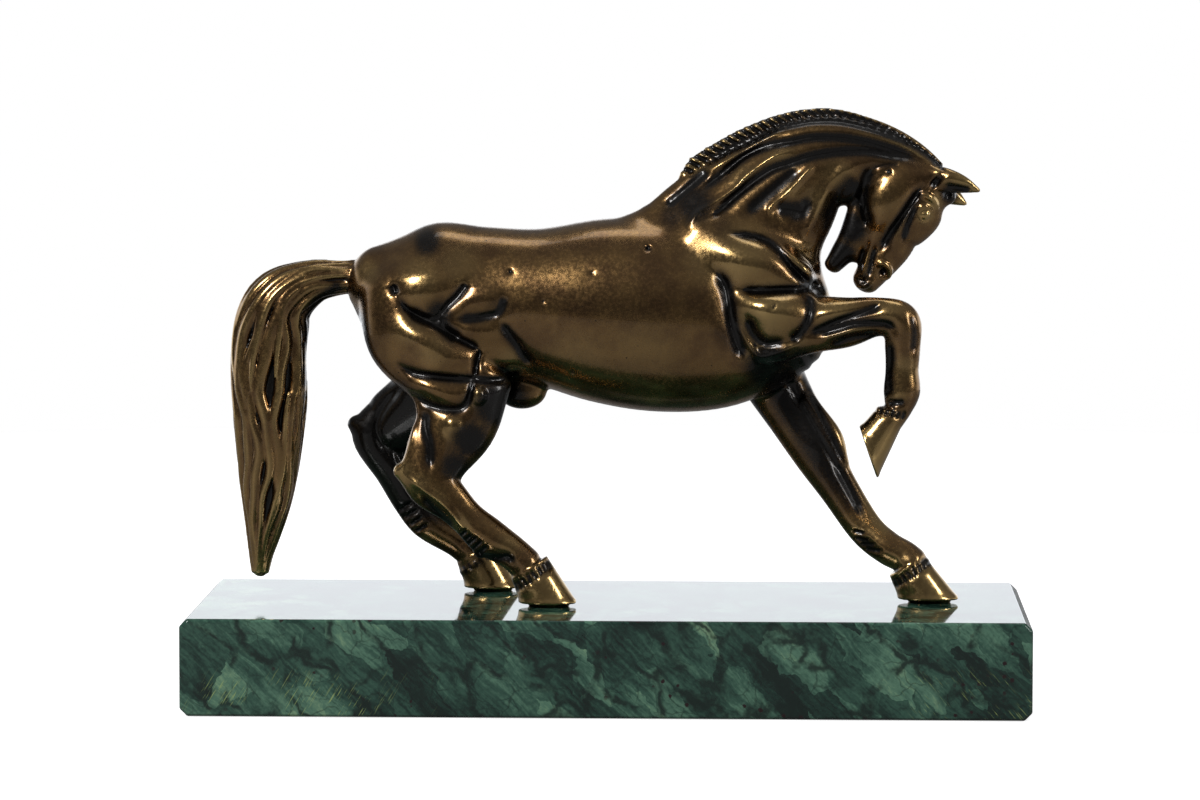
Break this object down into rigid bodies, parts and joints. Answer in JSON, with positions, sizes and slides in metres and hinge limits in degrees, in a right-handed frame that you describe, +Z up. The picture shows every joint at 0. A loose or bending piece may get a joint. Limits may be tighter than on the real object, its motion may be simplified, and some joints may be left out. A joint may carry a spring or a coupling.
{
  "type": "bronze horse sculpture",
  "caption": "Cast bronze horse pawing with one lifted foreleg, head bowed and tail hanging, standing on a low polished green stone plinth with bevelled edges.",
  "frame": {"origin": "middle of the plinth's underside", "axes": "+X along the plinth, the way the horse faces; +Z up; the horse's right side, with the lifted foreleg, faces -Y"},
  "size_m": [0.2, 0.082, 0.1419],
  "materials": {
    "bronze": "cast bronze, polished over a dark brown patina",
    "serpentine": "polished green serpentine stone"
  },
  "bodies": {
    "root": {"horse": "bronze", "plinth": "serpentine"}
  },
  "joints": []
}
